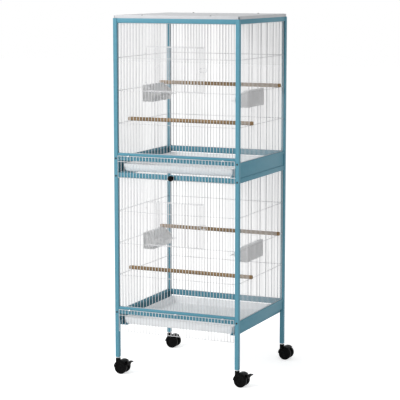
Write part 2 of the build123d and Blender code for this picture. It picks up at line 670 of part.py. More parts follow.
def caster_stem():
    """The steel stem: a pin in the hood, a collar under the post and a shank in the socket."""
    upright = (Align.CENTER, Align.CENTER, Align.MIN)
    low = WHEEL_DIAMETER / 2 + STEM_TIP_RISE
    stem = Pos(0, 0, low) * Cylinder(STEM_DIAMETER / 2, CASTER_HEIGHT + STEM_IN_SOCKET - low, align=upright)
    thickness = STEM_NECK - STEM_COLLAR_GAP
    return stem + Pos(0, 0, CASTER_HEIGHT - thickness) * Cylinder(STEM_COLLAR / 2, thickness, align=upright)


def caster_socket():
    """The plastic plug in the foot of a post, bored for the stem."""
    upright = (Align.CENTER, Align.CENTER, Align.MIN)
    bore = POST - 2 * POST_WALL
    plug = Box(bore, bore, STEM_IN_SOCKET + SOCKET_END, align=upright)
    plug -= Cylinder(STEM_DIAMETER / 2, STEM_IN_SOCKET, align=upright)
    return Pos(0, 0, CASTER_HEIGHT) * plug


def make_frame():
    make_posts()
    screw_x = {x for x, y in roof_screw_places()}
    save("lower_top_rails", *top_rails(LOWER_TOP, LOWER_RAIL_HEIGHT))
    save("upper_top_rails", *top_rails(FRAME_TOP, UPPER_RAIL_HEIGHT, sorted(screw_x)))
    for tier, height in (("lower", LOWER_SKIRT_HEIGHT), ("upper", UPPER_SKIRT_HEIGHT)):
        skirt_top = TIERS[tier][0]
        save(f"{tier}_front_rail", front_rail(skirt_top))
        save(f"{tier}_back_rail", back_rail(skirt_top))
        save(f"{tier}_skirts", *both_sides(skirt(skirt_top, height)))
        save(f"{tier}_tray_guides", *both_sides(tray_guide(skirt_top, height)))
    save("roof", roof())
    save("roof_screws", *[Pos(x, y, 0) * roof_screw() for x, y in roof_screw_places()])


def make_walls():
    for tier in TIERS:
        right = side_panel(tier)
        save(f"{tier}_right_panel", *right)
        save(f"{tier}_left_panel", *[mirror(solid, about=Plane.YZ) for solid in right])
        save(f"{tier}_back_panel", *back_panel(tier))
        save(f"{tier}_front_panel", *front_panel(tier))
        save(f"{tier}_door", *door(tier))
        save(f"{tier}_door_latch", door_latch(tier))


def make_trays():
    clips = []
    for tier in TIERS:
        save(f"{tier}_flap", *flap(tier))
        save(f"{tier}_tray", tray(tier))
        pivot = flap_levels(tier)[0]
        clips += [flap_clip(pivot, x) for x in clip_places()]
    save("flap_clips", *clips)
    save("flap_knob", knob("upper"))


def make_furniture():
    wall = POST_X - 1.5 * WIRE - FEEDER_CLEARANCE
    for tier in TIERS:
        high, middle, low = cross_levels(tier)
        save(f"{tier}_front_perch", perch(FRONT_PERCH_Y, low))
        save(f"{tier}_back_perch", perch(BACK_PERCH_Y, middle))
        box = feeder(middle)
        save(f"{tier}_left_feeder", Pos(-wall, feeder_middle(LEFT_FEEDER_Y), 0) * box)
        save(f"{tier}_right_feeder", Pos(wall, feeder_middle(RIGHT_FEEDER_Y), 0) * Rot(0, 0, 180) * box)


def make_casters():
    places = {name: Pos(sx * POST_X, sy * POST_Y, 0) for name, (sx, sy) in CORNERS.items()}
    save("caster_sockets", *[place * caster_socket() for place in places.values()])
    save("caster_stems", *[place * caster_stem() for place in places.values()])
    for name, place in places.items():
        save(f"caster_hood_{name}", place * caster_hood(name in BRAKED))
        save(f"caster_wheels_{name}", *[place * solid for solid in caster_wheels()])
        if name in BRAKED:
            save(f"brake_lever_{name}", place * brake_lever())


os.makedirs("parts", exist_ok=True)
make_frame()
make_walls()
make_trays()
make_furniture()
make_casters()
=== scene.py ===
import json
from math import cos, pi, radians, sin

import bmesh
import bpy
from bpy.props import FloatProperty, FloatVectorProperty, IntProperty, PointerProperty
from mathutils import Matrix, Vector


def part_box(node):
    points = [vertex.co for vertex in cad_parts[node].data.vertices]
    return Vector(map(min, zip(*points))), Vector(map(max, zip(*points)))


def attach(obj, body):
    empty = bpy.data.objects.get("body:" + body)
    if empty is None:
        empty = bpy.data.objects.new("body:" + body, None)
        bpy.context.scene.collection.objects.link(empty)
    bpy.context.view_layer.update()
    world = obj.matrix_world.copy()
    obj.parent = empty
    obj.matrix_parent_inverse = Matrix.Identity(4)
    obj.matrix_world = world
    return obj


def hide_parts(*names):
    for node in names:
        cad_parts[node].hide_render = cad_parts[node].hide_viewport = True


bl_info = {
    "name": "Rolling Bird Aviary",
    "version": (1, 0, 0),
    "blender": (4, 5, 0),
    "location": "3D View > Sidebar > Aviary",
    "description": "Round wires, coated frame, trays, feeders, perches and casters of a two-storey rolling aviary",
    "category": "Object",
}

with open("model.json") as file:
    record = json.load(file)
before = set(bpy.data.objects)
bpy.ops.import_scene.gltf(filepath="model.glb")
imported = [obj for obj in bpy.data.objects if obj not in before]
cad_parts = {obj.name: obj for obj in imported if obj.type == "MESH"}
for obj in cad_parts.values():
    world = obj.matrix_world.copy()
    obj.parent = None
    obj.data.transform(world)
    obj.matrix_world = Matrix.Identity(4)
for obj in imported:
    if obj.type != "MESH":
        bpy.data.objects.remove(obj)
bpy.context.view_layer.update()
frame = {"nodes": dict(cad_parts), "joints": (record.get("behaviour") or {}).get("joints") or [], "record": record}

BODY_OF = {node: body for body, nodes in frame["record"]["behaviour"]["bodies"].items() for node in nodes}
SLOT_OF = {entry["node"]: entry["material_slot"] for entry in frame["record"]["subparts"]}
TIERS = ("lower", "upper")
CORNERS = ("lf", "rf", "lb", "rb")
SCREW_HEIGHTS = (0.8405, 0.7735, 0.2415)
FINISHES = {}


def length(name, description, default):
    """A length property in metres."""
    return FloatProperty(name=name, description=description, default=default, min=0.0, unit="LENGTH", precision=4)


def colour(name, description, default):
    return FloatVectorProperty(name=name, description=description, default=default, subtype="COLOR", min=0.0, max=1.0)


class WireSettings(bpy.types.PropertyGroup):
    diameter: length("Wire", "Diameter of the round wires of walls, doors and flaps", 0.002)
    sides: IntProperty(name="Sides", description="Sides of each wire's section", default=10, min=6, max=24)
    weld: length("Weld", "How far crossing wires are pressed into each other", 0.0002)
    ring: length("Hinge ring wire", "Diameter of the wire that the hinge rings are wound from", 0.0012)
    ring_radius: length("Hinge ring", "Radius of the hinge rings at the middle of their wire", 0.0021)


class FrameSettings(bpy.types.PropertyGroup):
    fold: length("Fold", "Rounding of the folded sheet and tube edges", 0.0005)
    screw_head: length("Screw head", "Diameter of the frame's screw heads", 0.0072)
    screw_rise: length("Screw rise", "Height of a screw head", 0.0019)
    roof_head: length("Roof head", "Height of the roof screws' heads, which end at the top of the CAD box", 0.0016)
    plug_head: length("Plug head", "Height of the plugs' heads on the post tops", 0.0065)
    plug_inset: length("Plug inset", "How far the plugs' heads stay inside the roof's rim", 0.0016)


class TraySettings(bpy.types.PropertyGroup):
    wall: length("Tray wall", "Thickness of the tray", 0.0018)
    corner: length("Tray corner", "Rounding of the tray's upright and bottom edges", 0.007)
    front_draft: length("Front draft", "How far the tray's front leans in at the bottom", 0.009)
    side_draft: length("Side draft", "How far the tray's sides and back lean in at the bottom", 0.004)


class FurnitureSettings(bpy.types.PropertyGroup):
    perch_end: length("Perch end", "Chamfer at the ends of a perch", 0.0008)
    perch_tongue: length("Perch tongue", "How far a perch's slotted ends reach past the side wires", 0.0104)
    perch_slot: length("Perch slot", "Width of the slot round a side wire", 0.0028)
    perch_notch: length("Perch notch", "Depth of the notch over a level wire", 0.001)
    feeder_edge: length("Feeder edge", "Rounding of the feeder's moulded edges", 0.0007)


class CasterSettings(bpy.types.PropertyGroup):
    hood_edge: length("Hood edge", "Rounding of the hood's moulded edges", 0.0007)
    steps: IntProperty(name="Steps", description="Steps round a turned piece", default=56, min=16, max=128)


class ColourSettings(bpy.types.PropertyGroup):
    coat: colour("Coat", "Blue powder coat of the frame", (0.096, 0.282, 0.37))
    wire: colour("Wire coat", "White coat of the wires", (0.70, 0.70, 0.71))
    roof: colour("Roof coat", "Pale grey coat of the roof sheet", (0.55, 0.56, 0.58))
    tray: colour("Tray", "Pale grey plastic of the trays", (0.90, 0.915, 0.93))
    feeder: colour("Feeder", "Milky plastic of the feeders", (0.95, 0.955, 0.96))
    perch: colour("Perch", "Pale wood of the perches", (0.28, 0.172, 0.075))
    plastic: colour("Black plastic", "Caster hoods, pedals and knob", (0.0012, 0.0012, 0.0013))
    tread: colour("Wheel", "Black nylon of the wheels", (0.0016, 0.0016, 0.0017))
    zinc: colour("Zinc", "Zinc plate of stems and clips", (0.52, 0.54, 0.56))
    screw: colour("Screw", "Dark screw heads", (0.035, 0.037, 0.04))


class StageSettings(bpy.types.PropertyGroup):
    key: FloatProperty(name="Key light", description="Power of the key light", default=180.0, min=0.0, unit="POWER")
    fill: FloatProperty(name="Fill light", description="Power of the fill light", default=12.0, min=0.0, unit="POWER")
    sky: FloatProperty(name="Sky", description="Strength of the even light from all sides", default=0.5, min=0.0)
    floor: colour("Floor", "Pale floor", (0.86, 0.86, 0.86))
    floor_white: FloatProperty(name="Floor white", description="White added to the floor", default=0.58, min=0.0)


def pick(*pieces):
    """Selects these pieces alone, the first one active."""
    if bpy.context.object and bpy.context.object.mode != "OBJECT":
        bpy.ops.object.mode_set(mode="OBJECT")
    bpy.ops.object.select_all(action="DESELECT")
    for piece in pieces:
        piece.select_set(True)
    bpy.context.view_layer.objects.active = pieces[0]


def clear_selection():
    if bpy.context.object and bpy.context.object.mode != "OBJECT":
        bpy.ops.object.mode_set(mode="OBJECT")
    bpy.ops.object.select_all(action="DESELECT")


def edit(piece, kind, test):
    """Opens a piece in edit mode with the corners, edges or faces that pass the test selected."""
    pick(piece)
    bpy.ops.object.mode_set(mode="EDIT")
    bpy.ops.mesh.select_mode(type=kind)
    bpy.ops.mesh.select_all(action="DESELECT")
    mesh = bmesh.from_edit_mesh(piece.data)
    for item in {"VERT": mesh.verts, "EDGE": mesh.edges, "FACE": mesh.faces}[kind]:
        if test(item):
            item.select_set(True)
    mesh.select_flush_mode()
    bmesh.update_edit_mesh(piece.data)


def shape(piece, kind, **values):
    """Adds a modifier with these values and applies it."""
    pick(piece)
    bpy.ops.object.modifier_add(type=kind)
    modifier = piece.modifiers[-1]
    for key, value in values.items():
        setattr(modifier, key, value)
    bpy.ops.object.modifier_apply(modifier=modifier.name)


def settle(piece, name=None):
    """Puts a piece's place, turn and size into its mesh."""
    pick(piece)
    bpy.ops.object.transform_apply(location=True, rotation=True, scale=True)
    if name:
        piece.name = piece.data.name = name
    return piece


def joined(name, pieces):
    pick(*pieces)
    if len(pieces) > 1:
        bpy.ops.object.join()
    return settle(pieces[0], name)


def copied(piece, offset=(0, 0, 0), name=None):
    """A copy of a piece with its own mesh, moved by an offset."""
    pick(piece)
    bpy.ops.object.duplicate()
    copy = bpy.context.object
    bpy.ops.transform.translate(value=offset)
    return settle(copy, name)


def smooth(piece, angle=35):
    pick(piece)
    bpy.ops.object.shade_smooth_by_angle(angle=radians(angle))
    return piece


def outward(piece):
    """Merges a piece's doubled corners and turns its faces outwards."""
    edit(piece, "VERT", lambda corner: True)
    bpy.ops.mesh.remove_doubles(threshold=1e-6)
    bpy.ops.mesh.normals_make_consistent(inside=False)
    bpy.ops.object.mode_set(mode="OBJECT")


def chain(points):
    """A line of edges drawn from point to point."""
    clear_selection()
    bpy.ops.mesh.primitive_plane_add(size=0.0001, location=points[0])
    line = bpy.context.object
    bpy.ops.object.mode_set(mode="EDIT")
    bpy.ops.mesh.merge(type="CENTER")
    for a, b in zip(points, points[1:]):
        bpy.ops.mesh.extrude_vertices_move(TRANSFORM_OT_translate={"value": Vector(b) - Vector(a)})
    bpy.ops.object.mode_set(mode="OBJECT")
    return settle(line)


def bent_wire(points, thickness, corner, closed=False):
    """A round wire bent through these points, with rounded bends."""
    line = chain([Vector(point) for point in points])
    if closed:
        edit(line, "VERT", lambda v: len(v.link_edges) == 1)
        bpy.ops.mesh.edge_face_add()
    edit(line, "VERT", lambda v: len(v.link_edges) == 2)
    bpy.ops.mesh.bevel(offset=corner, segments=5, affect="VERTICES")
    bpy.ops.object.mode_set(mode="OBJECT")
    bpy.ops.object.convert(target="CURVE")
    line = bpy.context.object
    line.data.bevel_depth = thickness / 2
    line.data.bevel_resolution = 2
    line.data.use_fill_caps = True
    bpy.ops.object.convert(target="MESH")
    return smooth(bpy.context.object, 50)


def straight_wire(start, end, thickness):
    """A round wire with softened ends."""
    start, end = Vector(start), Vector(end)
    run = end - start
    clear_selection()
    bpy.ops.mesh.primitive_cylinder_add(
        vertices=bpy.context.scene.aviary_wires.sides, radius=thickness / 2, depth=run.length,
        location=(start + end) / 2, rotation=run.to_track_quat("Z", "Y").to_euler())
    wire = settle(bpy.context.object)
    shape(wire, "BEVEL", width=thickness / 6, segments=1, limit_method="ANGLE", angle_limit=radians(60))
    return wire


def turned(profile, centre, axis, steps=None):
    """A turned piece: (radius, distance along the axis) points spun round an axis through the centre."""
    axis = Vector(axis)
    side = axis.orthogonal().normalized()
    points = [Vector(centre) + side * radius + axis * along for radius, along in profile]
    piece = chain(points)
    edit(piece, "VERT", lambda corner: True)
    bpy.ops.mesh.spin(steps=steps or bpy.context.scene.aviary_casters.steps, angle=2 * pi, center=centre, axis=axis)
    bpy.ops.object.mode_set(mode="OBJECT")
    outward(piece)
    return smooth(piece, 32)


def softened(node, width, segments=2, angle=30):
    """A copy of a CAD piece with its flat faces made whole and its edges rounded."""
    piece = bpy.data.objects.new(f"{node}_soft", frame["nodes"][node].data.copy())
    bpy.context.scene.collection.objects.link(piece)
    edit(piece, "VERT", lambda corner: True)
    bpy.ops.mesh.remove_doubles(threshold=2e-6)
    bpy.ops.mesh.dissolve_limited(angle_limit=radians(0.4))
    bpy.ops.object.mode_set(mode="OBJECT")
    if width:
        shape(piece, "BEVEL", width=width, segments=segments, limit_method="ANGLE", angle_limit=radians(angle),
              use_clamp_overlap=True, harden_normals=False)
    return smooth(piece)


def block(low, high, edge, segments=2):
    """A bar between two corners with rounded edges."""
    low, high = Vector(low), Vector(high)
    clear_selection()
    bpy.ops.mesh.primitive_cube_add(size=1, location=(low + high) / 2, scale=high - low)
    piece = settle(bpy.context.object)
    if edge:
        shape(piece, "BEVEL", width=edge, segments=segments)
    return smooth(piece)


def stand_in(piece, node, name=None, finish=None):
    """Gives a piece the finish and body of the CAD node that it stands for, and hides that node."""
    piece.name = piece.data.name = name or piece.name
    piece.data.materials.clear()
    piece.data.materials.append(FINISHES[finish or SLOT_OF[node]])
    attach(piece, BODY_OF[node])
    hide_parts(node)
    return piece


def solids_of(node):
    """The corner points of each separate solid of a CAD node."""
    mesh = bmesh.new()
    mesh.from_mesh(frame["nodes"][node].data)
    bmesh.ops.remove_doubles(mesh, verts=mesh.verts, dist=1e-6)
    groups, seen = [], set()
    for start in mesh.verts:
        if start in seen:
            continue
        seen.add(start)
        waiting, group = [start], []
        while waiting:
            corner = waiting.pop()
            group.append(corner.co.copy())
            for edge in corner.link_edges:
                other = edge.other_vert(corner)
                if other not in seen:
                    seen.add(other)
                    waiting.append(other)
        groups.append(group)
    mesh.free()
    return groups


def extent(corners):
    low = Vector([min(corner[i] for corner in corners) for i in range(3)])
    high = Vector([max(corner[i] for corner in corners) for i in range(3)])
    return low, high


def comb_wires(corners, across, thickness):
    """Round uprights and the two end wires in place of a comb of square wires."""
    low, high = extent(corners)
    foot = [corner for corner in corners if corner.z < low.z + 1e-5]
    foot_low, foot_high = extent(foot)
    plane = (foot_low + foot_high) / 2
    marks = sorted({round(corner[across], 6) for corner in corners if abs(corner.z - low.z - thickness) < 2e-5})
    marks = sorted({round(foot_low[across], 6), *marks, round(foot_high[across], 6)})
    places = [(a + b) / 2 for a, b in zip(marks, marks[1:]) if abs(b - a - thickness) < 2e-5]

    def at(place, z):
        point = plane.copy()
        point[across] = place
        point.z = z
        return point

    upright = straight_wire(at(places[0], low.z), at(places[0], high.z), thickness)
    pitch = at(places[1], 0) - at(places[0], 0)
    shape(upright, "ARRAY", count=len(places), use_relative_offset=False, use_constant_offset=True,
          constant_offset_displace=pitch)
    ends = [straight_wire(at(foot_low[across], z), at(foot_high[across], z), thickness)
            for z in (low.z + thickness / 2, high.z - thickness / 2)]
    return [upright, *ends]


def wire_panel(node, name, across):
    """A welded panel of round wires in place of a CAD one."""
    settings = bpy.context.scene.aviary_wires
    normal = 1 - across
    groups = solids_of(node)
    combs = [group for group in groups if len(group) > 8]
    foot = [corner for corner in combs[0] if corner.z < extent(combs[0])[0].z + 1e-5]
    plane = sum(extent(foot), Vector())[normal] / 2
    parts = []
    for group in groups:
        if len(group) > 8:
            parts += comb_wires(group, across, settings.diameter)
            continue
        low, high = extent(group)
        start, end = (low + high) / 2, (low + high) / 2
        start[across], end[across] = low[across], high[across]
        sink = settings.weld if plane > start[normal] else -settings.weld
        start[normal] += sink
        end[normal] += sink
        parts.append(straight_wire(start, end, settings.diameter))
    return smooth(joined(name, parts), 50)


def noise(tree, scale, detail=2.0, roughness=0.5, stretch=(1, 1, 1)):
    """A noise pattern on the piece's own coordinates."""
    place = tree.nodes.new("ShaderNodeTexCoord")
    mapping = tree.nodes.new("ShaderNodeMapping")
    mapping.inputs["Scale"].default_value = stretch
    pattern = tree.nodes.new("ShaderNodeTexNoise")
    pattern.inputs["Scale"].default_value = scale
    pattern.inputs["Detail"].default_value = detail
    pattern.inputs["Roughness"].default_value = roughness
    tree.links.new(place.outputs["Object"], mapping.inputs["Vector"])
    tree.links.new(mapping.outputs["Vector"], pattern.inputs["Vector"])
    return pattern.outputs["Fac"]


def ramp(tree, value, low, high, dark, light):
    """Turns a pattern into a change between two colours."""
    node = tree.nodes.new("ShaderNodeValToRGB")
    node.color_ramp.elements[0].position = low
    node.color_ramp.elements[1].position = high
    node.color_ramp.elements[0].color = (*dark, 1)
    node.color_ramp.elements[1].color = (*light, 1)
    tree.links.new(value, node.inputs["Fac"])
    return node.outputs["Color"]


def shade(tone, factor):
    return tuple(min(1.0, channel * factor) for channel in tone)


def new_finish(slot, tone, variation, scale, bump_scale, bump_height, stretch=(1, 1, 1), **values):
    """A material with a varied colour and a fine surface, kept under the record's slot name."""
    material = bpy.data.materials.new(slot)
    material.use_nodes = True
    tree = material.node_tree
    shader = tree.nodes["Principled BSDF"]
    for key, value in values.items():
        shader.inputs[key.replace("_", " ")].default_value = value
    tone = tuple(tone)
    pattern = noise(tree, scale, 4.0, 0.55, stretch)
    mixed = ramp(tree, pattern, 0.32, 0.68, shade(tone, 1 - variation), shade(tone, 1 + variation))
    tree.links.new(mixed, shader.inputs["Base Color"])
    bump = tree.nodes.new("ShaderNodeBump")
    bump.inputs["Strength"].default_value = 0.5
    bump.inputs["Distance"].default_value = bump_height
    tree.links.new(noise(tree, bump_scale, 2.0, 0.5, stretch), bump.inputs["Height"])
    tree.links.new(bump.outputs["Normal"], shader.inputs["Normal"])
    FINISHES[slot] = material
    return material


class AVIARY_OT_finishes(bpy.types.Operator):
    """Makes the finishes: coats, plastics, wood and metal"""
    bl_idname = "aviary.finishes"
    bl_label = "Finishes"

    def execute(self, context):
        tones = context.scene.aviary_colours
        new_finish("blue_powder_coat", tones.coat, 0.035, 60, 1400, 0.00006, Roughness=0.5, Specular_IOR_Level=0.28)
        new_finish("white_wire", tones.wire, 0.04, 160, 2200, 0.00004, Roughness=0.38)
        new_finish("roof_sheet", tones.roof, 0.03, 24, 1400, 0.00005, Roughness=0.45)
        new_finish("tray_plastic", tones.tray, 0.025, 18, 700, 0.00006, Roughness=0.4)
        new_finish("feeder_plastic", tones.feeder, 0.02, 40, 500, 0.00005, Roughness=0.3, Subsurface_Weight=0.8,
                   Subsurface_Radius=(1, 1, 1), Subsurface_Scale=0.03)
        new_finish("perch_wood", tones.perch, 0.28, 55, 420, 0.00018, stretch=(0.06, 1, 1), Roughness=0.62)
        new_finish("black_plastic", tones.plastic, 0.2, 90, 900, 0.00005, Roughness=0.45, Specular_IOR_Level=0.06)
        new_finish("caster_tread", tones.tread, 0.25, 120, 1100, 0.00005, Roughness=0.45, Specular_IOR_Level=0.06)
        new_finish("zinc_steel", tones.zinc, 0.1, 260, 1500, 0.00003, Metallic=1.0, Roughness=0.34)
        new_finish("dark_screw", tones.screw, 0.2, 400, 1500, 0.00003, Metallic=0.6, Roughness=0.4)
        for node, piece in frame["nodes"].items():
            piece.data.materials.clear()
            piece.data.materials.append(FINISHES[SLOT_OF[node]])
        return {"FINISHED"}


class AVIARY_OT_wire_walls(bpy.types.Operator):
    """Builds the side, back and front panels of both cages from round wires"""
    bl_idname = "aviary.wire_walls"
    bl_label = "Wire walls"

    def execute(self, context):
        for tier in TIERS:
            for side, across in (("left", 1), ("right", 1), ("back", 0), ("front", 0)):
                node = f"{tier}_{side}_panel"
                stand_in(wire_panel(node, f"{tier}_{side}_wires", across), node)
        return {"FINISHED"}


def hinge_rings(tier, leaf):
    """Two wound rings that hold the door to the panel's upright wire, each with a leg to the door."""
    settings = bpy.context.scene.aviary_wires
    ring, radius = settings.ring, settings.ring_radius
    node = f"{tier}_door"
    hinge = next(joint for joint in frame["joints"] if joint["name"] == f"{tier}_door_hinge")
    x, y = hinge["pos_m"][0], hinge["pos_m"][1]
    heights = sorted({round(corner.z, 5) for group in solids_of(node) for corner in group
                      if corner.x < x - 0.002})
    middles = [(a + b) / 2 for a, b in zip(heights, heights[1:]) if b - a < 0.006]
    parts = []
    for z in middles:
        for step in (-1, 0, 1):
            clear_selection()
            bpy.ops.mesh.primitive_torus_add(location=(x, y, z + step * ring * 0.95), major_segments=24,
                                             minor_segments=8, major_radius=radius, minor_radius=ring / 2)
            parts.append(settle(bpy.context.object))
        parts.append(straight_wire((x + radius, y, z), (leaf, y, z), ring))
    return parts


class AVIARY_OT_doors(bpy.types.Operator):
    """Builds the wire doors, their hinge rings and their sprung catches"""
    bl_idname = "aviary.doors"
    bl_label = "Doors"

    def execute(self, context):
        wire = context.scene.aviary_wires.diameter
        for tier in TIERS:
            node = f"{tier}_door"
            door = wire_panel(node, f"{tier}_door_wires", 0)
            foot = [corner for corner in solids_of(node)[0] if corner.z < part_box(node)[0].z + 1e-5]
            leaf = extent(foot)[0].x + wire / 2
            door = joined(f"{tier}_door_wires", [door, *hinge_rings(tier, leaf)])
            stand_in(smooth(door, 50), node)
            low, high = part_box(f"{tier}_door_latch")
            plane = high.y - 0.0024 + wire / 2
            middle = (low.z + high.z) / 2
            left, right = low.x + wire / 2, high.x - wire / 2
            bottom, top = low.z + wire / 2, high.z - wire / 2
            edge = (low.x + high.x) / 2
            loop = bent_wire([(left, plane, middle), (left, plane, top), (right, plane, top), (right, plane, bottom),
                              (left, plane, bottom)], wire, 0.004, closed=True)
            pull = bent_wire([(left, plane, middle + 0.004), (left, low.y + wire / 2, middle + 0.004),
                              (left, low.y + wire / 2, middle - 0.004), (left, plane, middle - 0.004)], wire, 0.002)
            legs = [straight_wire((edge, high.y, z), (edge, plane, z), wire) for z in (bottom, top)]
            stand_in(joined(f"{tier}_door_catch", [loop, pull, *legs]), f"{tier}_door_latch")
        return {"FINISHED"}


def ball_profile(radius, neck, steps=14):
    """Half outline of a ball from its tip to where it meets a neck, as (radius, distance from the tip)."""
    points = []
    for step in range(steps + 1):
        angle = radians(158) * step / steps
        points.append((max(radius * sin(angle), 0.0 if step == 0 else neck), radius - radius * cos(angle)))
    return points


class AVIARY_OT_flaps(bpy.types.Operator):
    """Builds the wire flaps in front of the trays, their saddle clips and the ball knob"""
    bl_idname = "aviary.flaps"
    bl_label = "Flaps"

    def execute(self, context):
        for tier in TIERS:
            stand_in(wire_panel(f"{tier}_flap", f"{tier}_flap_wires", 0), f"{tier}_flap")
        stand_in(softened("flap_clips", 0.0003), "flap_clips", "flap_saddles")
        low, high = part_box("flap_knob")
        centre = ((low.x + high.x) / 2, low.y, (low.z + high.z) / 2)
        profile = ball_profile(0.011, 0.0035) + [(0.0035, 0.023), (0.0058, 0.023), (0.0065, 0.0236), (0.0065, 0.0248),
                                                 (0.0062, 0.025), (0.0035, 0.025), (0.0035, 0.027), (0.0, 0.027)]
        ball = turned(profile, centre, (0, 1, 0), 48)
        plate = block((centre[0] - 0.00745, high.y - 0.0012, centre[2] - 0.0065),
                      (centre[0] + 0.00745, high.y, centre[2] + 0.0065), 0.0004)
        stand_in(joined("flap_ball_knob", [ball, plate]), "flap_knob")
        return {"FINISHED"}


def pan_screw(centre, axis, head, rise, shank=0.0):
    """A domed screw head with a cross recess, standing on a surface at the centre."""
    radius = head / 2
    profile = [(0.0, rise), (radius * 0.45, rise * 0.97), (radius * 0.78, rise * 0.78), (radius * 0.95, rise * 0.42),
               (radius, 0.0)]
    if shank:
        profile += [(radius * 0.5, 0.0), (radius * 0.5, -shank), (0.0, -shank)]
    else:
        profile += [(0.0, 0.0)]
    screw = turned(profile, centre, axis, 24)
    bars = []
    for turn in (0, 90):
        clear_selection()
        rotation = Vector(axis).to_track_quat("Z", "Y").to_euler()
        bpy.ops.mesh.primitive_cube_add(size=1, location=Vector(centre) + Vector(axis) * rise, rotation=rotation,
                                        scale=(head * 0.5, head * 0.11, rise * 1.1))
        bar = bpy.context.object
        bpy.ops.transform.rotate(value=radians(turn), orient_axis="Z", orient_type="LOCAL",
                                 center_override=bar.location)
        bars.append(settle(bar))
    for bar in bars:
        shape(screw, "BOOLEAN", object=bar, operation="DIFFERENCE", solver="EXACT")
        bpy.data.objects.remove(bar)
    return smooth(screw, 32)


class AVIARY_OT_frame_tubes(bpy.types.Operator):
    """Builds the posts, rails, skirts and tray runners with softened folds, and the screws on the posts"""
    bl_idname = "aviary.frame_tubes"
    bl_label = "Frame"

    def execute(self, context):
        settings = context.scene.aviary_frame
        for tier in TIERS:
            for corner in CORNERS:
                node = f"{tier}_post_{corner}"
                stand_in(softened(node, 0.0), node)
            for name in ("top_rails", "front_rail", "back_rail", "skirts", "tray_guides"):
                node = f"{tier}_{name}"
                stand_in(softened(node, settings.fold), node)
        places = []
        for corner in CORNERS:
            low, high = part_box(f"lower_post_{corner}")
            front = corner.endswith("f")
            y = low.y if front else high.y
            places += [Vector(((low.x + high.x) / 2, y, z)) for z in SCREW_HEIGHTS]
        first = pan_screw(places[0], (0, -1, 0), settings.screw_head, settings.screw_rise)
        heads = [first] + [copied(first, place - places[0]) for place in places[1:6]]
        first_back = pan_screw(places[6], (0, 1, 0), settings.screw_head, settings.screw_rise)
        heads += [first_back] + [copied(first_back, place - places[6]) for place in places[7:]]
        heads = joined("post_screws", heads)
        heads.data.materials.append(FINISHES["dark_screw"])
        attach(heads, "frame")
        return {"FINISHED"}


class AVIARY_OT_roof(bpy.types.Operator):
    """Builds the roof sheet, its screws and the plugs in the post tops"""
    bl_idname = "aviary.roof"
    bl_label = "Roof"

    def execute(self, context):
        settings = context.scene.aviary_frame
        rim_low, rim_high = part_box("roof")
        highest = rim_high.z
        top = highest - settings.roof_head
        sheet = softened("roof", settings.fold * 0.9)
        edit(sheet, "VERT", lambda v: v.co.z > highest - 0.0025)
        bpy.ops.transform.translate(value=(0, 0, -settings.roof_head))
        bpy.ops.object.mode_set(mode="OBJECT")
        stand_in(sheet, "roof")
        screws = []
        for group in solids_of("roof_screws"):
            low, high = extent(group)
            centre = Vector(((low.x + high.x) / 2, (low.y + high.y) / 2, top))
            if screws:
                screws.append(copied(screws[0], centre - start))
            else:
                start = centre
                screws.append(pan_screw(centre, (0, 0, 1), high.x - low.x, settings.roof_head, top - low.z))
        stand_in(joined("roof_pan_screws", screws), "roof_screws")
        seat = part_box("upper_top_rails")[1].z
        heads = []
        for group in solids_of("post_caps"):
            low, high = extent(group)
            for axis in (0, 1):
                low[axis] = max(low[axis], rim_low[axis] + settings.plug_inset)
                high[axis] = min(high[axis], rim_high[axis] - settings.plug_inset)
            low.z, high.z = seat, seat + settings.plug_head
            heads.append(block(low, high, settings.fold))
        heads.append(softened("post_caps", 0))
        stand_in(joined("post_plugs", heads), "post_caps")
        return {"FINISHED"}


class AVIARY_OT_trays(bpy.types.Operator):
    """Builds the two drawn trays with rounded corners and a rounded top edge"""
    bl_idname = "aviary.trays"
    bl_label = "Trays"

    def execute(self, context):
        settings = context.scene.aviary_trays
        front_draft, side_draft = settings.front_draft, settings.side_draft
        for tier in TIERS:
            node = f"{tier}_tray"
            low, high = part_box(node)
            clear_selection()
            bpy.ops.mesh.primitive_cube_add(size=1, location=(low + high) / 2, scale=high - low)
            tray = settle(bpy.context.object)
            middle = (low + high) / 2
            for test, move in (
                    (lambda v: v.co.z < middle.z and v.co.x < middle.x, (side_draft, 0, 0)),
                    (lambda v: v.co.z < middle.z and v.co.x > middle.x, (-side_draft, 0, 0)),
                    (lambda v: v.co.z < middle.z and v.co.y < middle.y, (0, front_draft, 0)),
                    (lambda v: v.co.z < middle.z and v.co.y > middle.y, (0, -side_draft, 0))):
                edit(tray, "VERT", test)
                bpy.ops.transform.translate(value=move)
            edit(tray, "EDGE", lambda e: min(v.co.z for v in e.verts) < middle.z)
            bpy.ops.mesh.bevel(offset=settings.corner, segments=5, affect="EDGES")
            edit(tray, "FACE", lambda f: f.normal.z > 0.9 and f.calc_center_median().z > middle.z)
            bpy.ops.mesh.delete(type="FACE")
            bpy.ops.object.mode_set(mode="OBJECT")
            shape(tray, "SOLIDIFY", thickness=settings.wall, offset=-1.0, use_even_offset=True)
            edit(tray, "VERT", lambda v: v.co.z > high.z - 0.0005)
            bpy.ops.transform.resize(value=(1, 1, 0), center_override=(middle.x, middle.y, high.z))
            edit(tray, "FACE", lambda f: f.normal.z > 0.9 and f.calc_center_median().z > high.z - 0.0002)
            bpy.ops.mesh.bevel(offset=settings.wall * 0.3, segments=2, affect="EDGES")
            bpy.ops.object.mode_set(mode="OBJECT")
            stand_in(smooth(tray, 40), node, f"{tier}_drawn_tray")
        return {"FINISHED"}


